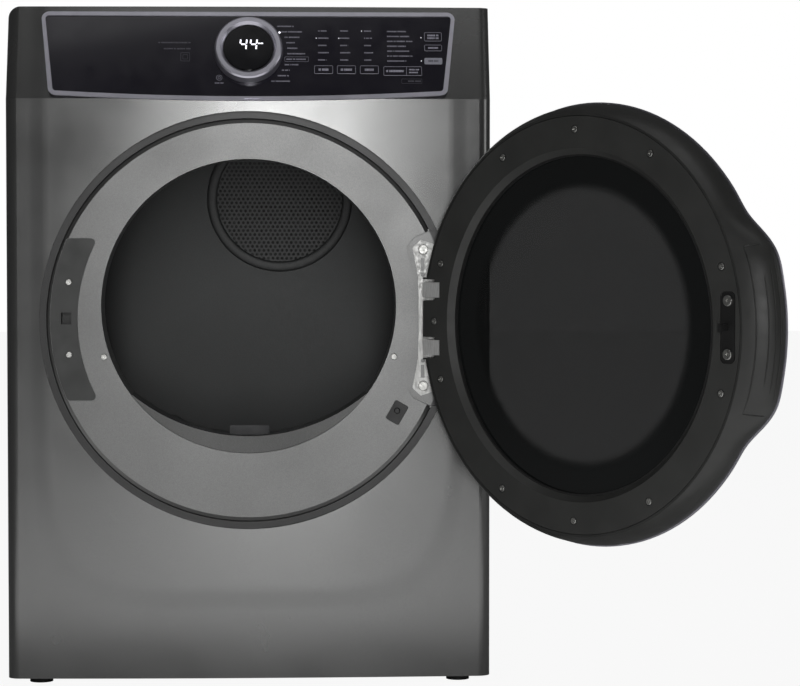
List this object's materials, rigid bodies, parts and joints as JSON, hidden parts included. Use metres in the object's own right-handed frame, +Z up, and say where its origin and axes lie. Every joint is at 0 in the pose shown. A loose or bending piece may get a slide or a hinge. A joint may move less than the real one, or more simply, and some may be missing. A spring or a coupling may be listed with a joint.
{
  "type": "clothes dryer",
  "caption": "Front-loading clothes dryer with a round tinted-glass door swung open on its side hinge, a leaning console with a dial and push keys, a tumbling drum, a pull-out lint screen and a rear exhaust outlet.",
  "frame": {"origin": "on the floor under the middle of the cabinet", "axes": "+X to the right seen from the front, +Y to the back, +Z up; the front faces -Y"},
  "size_m": [1.0303, 1.2213, 0.965],
  "materials": {
    "titanium_paint": "metallic satin",
    "ring_paint": "metallic satin",
    "latch_plastic": "satin",
    "side_paint": "satin",
    "galvanised": "spangled matt",
    "drum_metal": "satin enamel",
    "baffle_plastic": "satin",
    "felt": "matt felt",
    "fascia_gloss": "gloss",
    "silver_trim": "satin silver",
    "key_gloss": "gloss",
    "key_white": "gloss",
    "board": "solder mask",
    "zinc": "zinc plated",
    "door_plastic": "satin",
    "inner_glass": "dark tinted",
    "outer_glass": "dark tinted",
    "gasket_rubber": "matt",
    "black_plastic": "satin",
    "filter_plastic": "satin",
    "motor_paint": "satin",
    "pulley_steel": "machined",
    "belt_rubber": "ribbed",
    "heater_wire": "heat stained",
    "foot_rubber": "matt"
  },
  "bodies": {
    "cabinet": {"front_panel": "titanium_paint", "top_panel": "side_paint", "side_panel_left": "side_paint", "side_panel_right": "side_paint", "rear_panel": "galvanised", "base_pan": "galvanised", "door_frame": "ring_paint", "door_latch": "latch_plastic", "door_switch_body": "black_plastic", "hinge_bracket": "zinc", "cabinet_screws": "zinc", "console_fascia": "fascia_gloss", "console_trim": "silver_trim", "display_window": "fascia_gloss", "control_board": "board", "filter_housing": "ring_paint", "front_bulkhead": "galvanised", "rear_bulkhead": "galvanised", "felt_seals": "felt", "air_inlet_grille": "drum_metal", "heater_box": "galvanised", "heater_element": "heater_wire", "blower_housing": "black_plastic", "exhaust_duct": "galvanised", "terminal_cover": "galvanised", "roller_shafts": "zinc", "drive_belt": "belt_rubber", "drive_motor": "motor_paint"},
    "door": {"door_shell": "door_plastic", "door_inner_panel": "door_plastic", "door_inner_glass": "inner_glass", "door_outer_glass": "outer_glass", "door_trim": "silver_trim", "door_gasket": "gasket_rubber", "door_strike": "black_plastic", "door_screws": "zinc", "door_hinge_leaves": "zinc"},
    "drum": {"drum_shell": "drum_metal", "drum_baffles": "baffle_plastic"},
    "roller_left": {"roller_left": "black_plastic"},
    "roller_right": {"roller_right": "black_plastic"},
    "motor_rotor": {"motor_pulley": "pulley_steel", "blower_wheel": "black_plastic"},
    "idler_arm": {"idler_arm": "zinc"},
    "idler_pulley": {"idler_pulley": "black_plastic"},
    "lint_filter": {"lint_filter": "filter_plastic"},
    "selector_ring": {"selector_ring": "silver_trim"},
    "door_switch_plunger": {"door_switch_plunger": "black_plastic"},
    "foot_front_left": {"foot_front_left": "foot_rubber"},
    "foot_front_right": {"foot_front_right": "foot_rubber"},
    "foot_rear_left": {"foot_rear_left": "foot_rubber"},
    "foot_rear_right": {"foot_rear_right": "foot_rubber"},
    "key_temperature": {"key_temperature": "key_gloss"},
    "key_dryness": {"key_dryness": "key_gloss"},
    "key_time": {"key_time": "key_gloss"},
    "key_options": {"key_options": "key_gloss"},
    "key_start": {"key_start": "key_gloss"},
    "key_cancel": {"key_cancel": "key_gloss"},
    "key_favourite": {"key_favourite": "key_white"},
    "key_power": {"key_power": "key_gloss"}
  },
  "joints": [
    {"name": "door_hinge", "type": "hinge", "parent": "cabinet", "child": "door", "pos_m": [0.268, -0.392, 0.522], "axis": [0, 0, 1], "range_deg": [-132.6, 4]},
    {"name": "drum_spin", "type": "hinge", "parent": "cabinet", "child": "drum", "pos_m": [0, 0, 0.56], "axis": [0, 1, 0], "continuous": true},
    {"name": "roller_left_spin", "type": "hinge", "parent": "cabinet", "child": "roller_left", "pos_m": [-0.20494, 0.27, 0.26732], "axis": [0, 1, 0], "continuous": true},
    {"name": "roller_right_spin", "type": "hinge", "parent": "cabinet", "child": "roller_right", "pos_m": [0.20494, 0.27, 0.26732], "axis": [0, 1, 0], "continuous": true},
    {"name": "motor_spin", "type": "hinge", "parent": "cabinet", "child": "motor_rotor", "pos_m": [-0.11, -0.1, 0.128], "axis": [0, 1, 0], "continuous": true},
    {"name": "idler_arm_swing", "type": "hinge", "parent": "cabinet", "child": "idler_arm", "pos_m": [-0.055, -0.016, 0.046], "axis": [0, 1, 0], "range_deg": [0, 8], "stiffness_Nm_per_rad": 8, "springref_deg": -14.32},
    {"name": "idler_pulley_spin", "type": "hinge", "parent": "idler_arm", "child": "idler_pulley", "pos_m": [-0.055, -0.026, 0.137], "axis": [0, 1, 0], "continuous": true},
    {"name": "lint_filter_lift", "type": "slide", "parent": "cabinet", "child": "lint_filter", "axis": [0, 0, 1], "range_m": [0, 0.215]},
    {"name": "selector_turn", "type": "hinge", "parent": "cabinet", "child": "selector_ring", "pos_m": [0, -0.34736, 0.8997], "axis": [0, -0.9397, 0.342], "continuous": true},
    {"name": "key_temperature_press", "type": "slide", "parent": "cabinet", "child": "key_temperature", "axis": [0, 0.9397, -0.342], "range_m": [0, 0.001], "stiffness_N_per_m": 500, "springref_m": -0.001},
    {"name": "key_dryness_press", "type": "slide", "parent": "cabinet", "child": "key_dryness", "axis": [0, 0.9397, -0.342], "range_m": [0, 0.001], "stiffness_N_per_m": 500, "springref_m": -0.001},
    {"name": "key_time_press", "type": "slide", "parent": "cabinet", "child": "key_time", "axis": [0, 0.9397, -0.342], "range_m": [0, 0.001], "stiffness_N_per_m": 500, "springref_m": -0.001},
    {"name": "key_options_press", "type": "slide", "parent": "cabinet", "child": "key_options", "axis": [0, 0.9397, -0.342], "range_m": [0, 0.001], "stiffness_N_per_m": 500, "springref_m": -0.001},
    {"name": "key_start_press", "type": "slide", "parent": "cabinet", "child": "key_start", "axis": [0, 0.9397, -0.342], "range_m": [0, 0.001], "stiffness_N_per_m": 500, "springref_m": -0.001},
    {"name": "key_cancel_press", "type": "slide", "parent": "cabinet", "child": "key_cancel", "axis": [0, 0.9397, -0.342], "range_m": [0, 0.001], "stiffness_N_per_m": 500, "springref_m": -0.001},
    {"name": "key_favourite_press", "type": "slide", "parent": "cabinet", "child": "key_favourite", "axis": [0, 0.9397, -0.342], "range_m": [0, 0.001], "stiffness_N_per_m": 500, "springref_m": -0.001},
    {"name": "key_power_press", "type": "slide", "parent": "cabinet", "child": "key_power", "axis": [0, 0.9397, -0.342], "range_m": [0, 0.001], "stiffness_N_per_m": 500, "springref_m": -0.001},
    {"name": "door_switch_press", "type": "slide", "parent": "cabinet", "child": "door_switch_plunger", "axis": [0, 1, 0], "range_m": [0, 0.0025], "stiffness_N_per_m": 300, "springref_m": -0.002},
    {"name": "foot_front_left_level", "type": "slide", "parent": "cabinet", "child": "foot_front_left", "axis": [0, 0, 1], "range_m": [-0.02, 0]},
    {"name": "foot_front_right_level", "type": "slide", "parent": "cabinet", "child": "foot_front_right", "axis": [0, 0, 1], "range_m": [-0.02, 0]},
    {"name": "foot_rear_left_level", "type": "slide", "parent": "cabinet", "child": "foot_rear_left", "axis": [0, 0, 1], "range_m": [-0.02, 0]},
    {"name": "foot_rear_right_level", "type": "slide", "parent": "cabinet", "child": "foot_rear_right", "axis": [0, 0, 1], "range_m": [-0.02, 0]}
  ],
  "couplings": [
    {"joint": "roller_left_spin", "follows": "drum_spin", "ratio": -9.2},
    {"joint": "roller_right_spin", "follows": "drum_spin", "ratio": -9.2},
    {"joint": "motor_spin", "follows": "drum_spin", "ratio": 23.107},
    {"joint": "idler_pulley_spin", "follows": "drum_spin", "ratio": -15.047}
  ]
}
